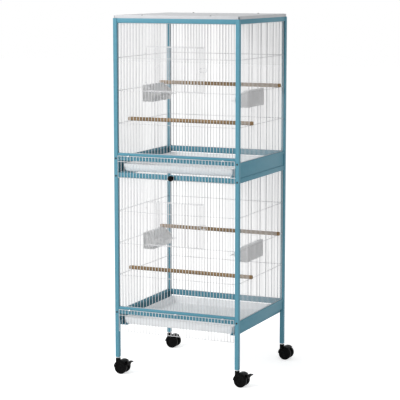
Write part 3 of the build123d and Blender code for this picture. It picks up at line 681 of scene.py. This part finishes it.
def slotted_perch(node, settings):
    """A dowel whose slotted ends reach out past the side wires, notched over the level wires that carry it."""
    low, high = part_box(node)
    middle = (low + high) / 2
    radius = (high.z - low.z) / 2
    tongue = settings.perch_tongue
    clear_selection()
    bpy.ops.mesh.primitive_cylinder_add(vertices=40, radius=radius, depth=high.x - low.x + 2 * tongue, location=middle,
                                        rotation=(0, pi / 2, 0))
    dowel = settle(bpy.context.object)
    shape(dowel, "BEVEL", width=settings.perch_end, segments=2, limit_method="ANGLE", angle_limit=radians(60))
    cuts = []
    for side, end in ((-1, low.x), (1, high.x)):
        cuts.append(block((min(end, end + side * 2 * tongue), middle.y - settings.perch_slot / 2, low.z - radius),
                          (max(end, end + side * 2 * tongue), middle.y + settings.perch_slot / 2, high.z + radius), 0))
        notch = end - side * settings.perch_slot
        cuts.append(block((min(notch, notch + side * 2 * tongue), low.y - radius, low.z - radius),
                          (max(notch, notch + side * 2 * tongue), high.y + radius, low.z + settings.perch_notch), 0))
    for cut in cuts:
        shape(dowel, "BOOLEAN", object=cut, operation="DIFFERENCE", solver="EXACT")
        bpy.data.objects.remove(cut)
    dowel.name = dowel.data.name = f"{node}_dowel"
    return smooth(dowel, 40)


class AVIARY_OT_furniture(bpy.types.Operator):
    """Builds the perches and the hooded feeders"""
    bl_idname = "aviary.furniture"
    bl_label = "Perches and feeders"

    def execute(self, context):
        settings = context.scene.aviary_furniture
        for tier in TIERS:
            for place in ("front", "back"):
                node = f"{tier}_{place}_perch"
                stand_in(slotted_perch(node, settings), node)
            for side in ("left", "right"):
                node = f"{tier}_{side}_feeder"
                stand_in(softened(node, settings.feeder_edge, 3, 20), node)
        return {"FINISHED"}


def twin_wheels(node):
    """Two dished wheels with rounded treads on an axle."""
    low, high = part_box(node)
    centre = (low + high) / 2
    radius = (high.z - low.z) / 2
    outer = (high.y - low.y) / 2
    inner = outer - 0.016
    profile = [(0.003, inner), (radius - 0.0045, inner), (radius - 0.0022, inner + 0.0004),
               (radius - 0.0007, inner + 0.0014), (radius, inner + 0.0034), (radius, outer - 0.0034),
               (radius - 0.0006, outer - 0.0016),
               (radius - 0.0018, outer - 0.0005), (radius - 0.0036, outer), (radius - 0.0055, outer),
               (radius - 0.0061, outer - 0.0006), (radius - 0.0067, outer - 0.0022), (0.0084, outer - 0.0025),
               (0.0076, outer - 0.0018), (0.0066, outer - 0.0012), (0.003, outer - 0.0011), (0.003, inner)]
    wheels = [turned(profile, centre, (0, side, 0)) for side in (1, -1)]
    cap = outer - 0.0009
    axle = turned([(0.0, -cap), (0.0024, -cap), (0.003, -cap + 0.0006), (0.003, cap - 0.0006), (0.0024, cap),
                   (0.0, cap)], centre, (0, 1, 0), 24)
    return joined(f"{node}_turned", [*wheels, axle])


class AVIARY_OT_casters(bpy.types.Operator):
    """Builds the twin-wheel casters with their hoods and brake pedals"""
    bl_idname = "aviary.casters"
    bl_label = "Casters"

    def execute(self, context):
        settings = context.scene.aviary_casters
        for corner in CORNERS:
            hood = f"caster_hood_{corner}"
            stand_in(softened(hood, settings.hood_edge, 2, 32), hood)
            stand_in(twin_wheels(f"caster_wheels_{corner}"), f"caster_wheels_{corner}")
            pedal = f"brake_lever_{corner}"
            if pedal in BODY_OF:
                stand_in(softened(pedal, settings.hood_edge * 0.7, 2, 32), pedal)
        return {"FINISHED"}


def seen_rays(tree):
    """1 for camera, glossy and transmission rays, 0 for the rays that light the object."""
    path = tree.nodes.new("ShaderNodeLightPath")
    value = path.outputs["Is Camera Ray"]
    for ray in ("Is Glossy Ray", "Is Transmission Ray"):
        either = tree.nodes.new("ShaderNodeMath")
        either.operation = "MAXIMUM"
        tree.links.new(value, either.inputs[0])
        tree.links.new(path.outputs[ray], either.inputs[1])
        value = either.outputs[0]
    return value


def backdrop_white(material, strength):
    """Adds white to what a surface shows, so that it turns pure white wherever it isn't in shadow."""
    tree = material.node_tree
    amount = tree.nodes.new("ShaderNodeMath")
    amount.operation = "MULTIPLY"
    amount.inputs[1].default_value = strength
    glow = tree.nodes.new("ShaderNodeEmission")
    both = tree.nodes.new("ShaderNodeAddShader")
    tree.links.new(seen_rays(tree), amount.inputs[0])
    tree.links.new(amount.outputs[0], glow.inputs["Strength"])
    tree.links.new(tree.nodes["Principled BSDF"].outputs[0], both.inputs[0])
    tree.links.new(glow.outputs[0], both.inputs[1])
    tree.links.new(both.outputs[0], tree.nodes["Material Output"].inputs["Surface"])


def white_sky(strength):
    """Even light from all sides, which looks plain white to the camera."""
    world = bpy.data.worlds.new("studio")
    bpy.context.scene.world = world
    world.use_nodes = True
    tree = world.node_tree
    sky = tree.nodes["Background"]
    sky.inputs["Color"].default_value = (1, 1, 1, 1)
    sky.inputs["Strength"].default_value = strength
    plain = tree.nodes.new("ShaderNodeBackground")
    plain.inputs["Color"].default_value = (1, 1, 1, 1)
    mix = tree.nodes.new("ShaderNodeMixShader")
    tree.links.new(seen_rays(tree), mix.inputs["Fac"])
    tree.links.new(sky.outputs[0], mix.inputs[1])
    tree.links.new(plain.outputs[0], mix.inputs[2])
    tree.links.new(mix.outputs[0], tree.nodes["World Output"].inputs["Surface"])


def soft_light(name, place, size, power):
    """A square soft light that points at the middle of the aviary."""
    bpy.ops.object.light_add(type="AREA", location=place)
    light = bpy.context.object
    light.name = name
    light.data.energy = power
    light.data.size = size
    light.rotation_euler = (Vector((0, 0, 0.7)) - Vector(place)).to_track_quat("-Z", "Y").to_euler()


class AVIARY_OT_stage(bpy.types.Operator):
    """Sets the floor, the lights, the white backdrop and the camera"""
    bl_idname = "aviary.stage"
    bl_label = "Stage"

    def execute(self, context):
        settings = context.scene.aviary_stage
        clear_selection()
        bpy.ops.mesh.primitive_plane_add(size=40, location=(0, 0, 0))
        floor = bpy.context.object
        floor.name = "floor"
        material = bpy.data.materials.new("floor")
        material.use_nodes = True
        material.node_tree.nodes["Principled BSDF"].inputs["Roughness"].default_value = 0.9
        tone = tuple(settings.floor)
        pattern = ramp(material.node_tree, noise(material.node_tree, 3.0), 0.3, 0.7, shade(tone, 0.985), tone)
        material.node_tree.links.new(pattern, material.node_tree.nodes["Principled BSDF"].inputs["Base Color"])
        backdrop_white(material, settings.floor_white)
        floor.data.materials.append(material)
        white_sky(settings.sky)
        soft_light("key", (-2.6, -3.6, 3.4), 2.4, settings.key)
        soft_light("fill", (3.4, -2.2, 2.0), 2.6, settings.fill)
        bpy.ops.object.camera_add(location=(2.40537, -5.4735, 1.5229), rotation=(radians(81.831), 0, radians(23.983)))
        camera = bpy.context.object
        camera.data.lens = 139.3
        camera.data.sensor_width = 36
        camera.data.clip_end = 100
        context.scene.camera = camera
        context.scene.view_settings.view_transform = "Standard"
        return {"FINISHED"}


OPERATORS = (AVIARY_OT_finishes, AVIARY_OT_wire_walls, AVIARY_OT_doors, AVIARY_OT_flaps, AVIARY_OT_frame_tubes,
             AVIARY_OT_roof, AVIARY_OT_trays, AVIARY_OT_furniture, AVIARY_OT_casters, AVIARY_OT_stage)
SETTINGS = {"aviary_wires": WireSettings, "aviary_frame": FrameSettings, "aviary_trays": TraySettings,
            "aviary_furniture": FurnitureSettings, "aviary_casters": CasterSettings,
            "aviary_colours": ColourSettings, "aviary_stage": StageSettings}


class AVIARY_PT_sidebar(bpy.types.Panel):
    """Lists the aviary's pieces and their sizes and colours"""
    bl_idname = "AVIARY_PT_sidebar"
    bl_label = "Rolling bird aviary"
    bl_space_type = "VIEW_3D"
    bl_region_type = "UI"
    bl_category = "Aviary"

    def draw(self, context):
        for operator in OPERATORS:
            self.layout.operator(operator.bl_idname)
        for key, group in SETTINGS.items():
            box = self.layout.box()
            for name in group.__annotations__:
                box.prop(getattr(context.scene, key), name)


def register():
    for group in SETTINGS.values():
        bpy.utils.register_class(group)
    for key, group in SETTINGS.items():
        setattr(bpy.types.Scene, key, PointerProperty(type=group))
    for operator in OPERATORS:
        bpy.utils.register_class(operator)
    bpy.utils.register_class(AVIARY_PT_sidebar)


def unregister():
    bpy.utils.unregister_class(AVIARY_PT_sidebar)
    for operator in reversed(OPERATORS):
        bpy.utils.unregister_class(operator)
    for key, group in SETTINGS.items():
        delattr(bpy.types.Scene, key)
        bpy.utils.unregister_class(group)


def main():
    register()
    for operator in OPERATORS:
        group, name = operator.bl_idname.split(".")
        getattr(getattr(bpy.ops, group), name)()


if __name__ == "__main__":
    main()
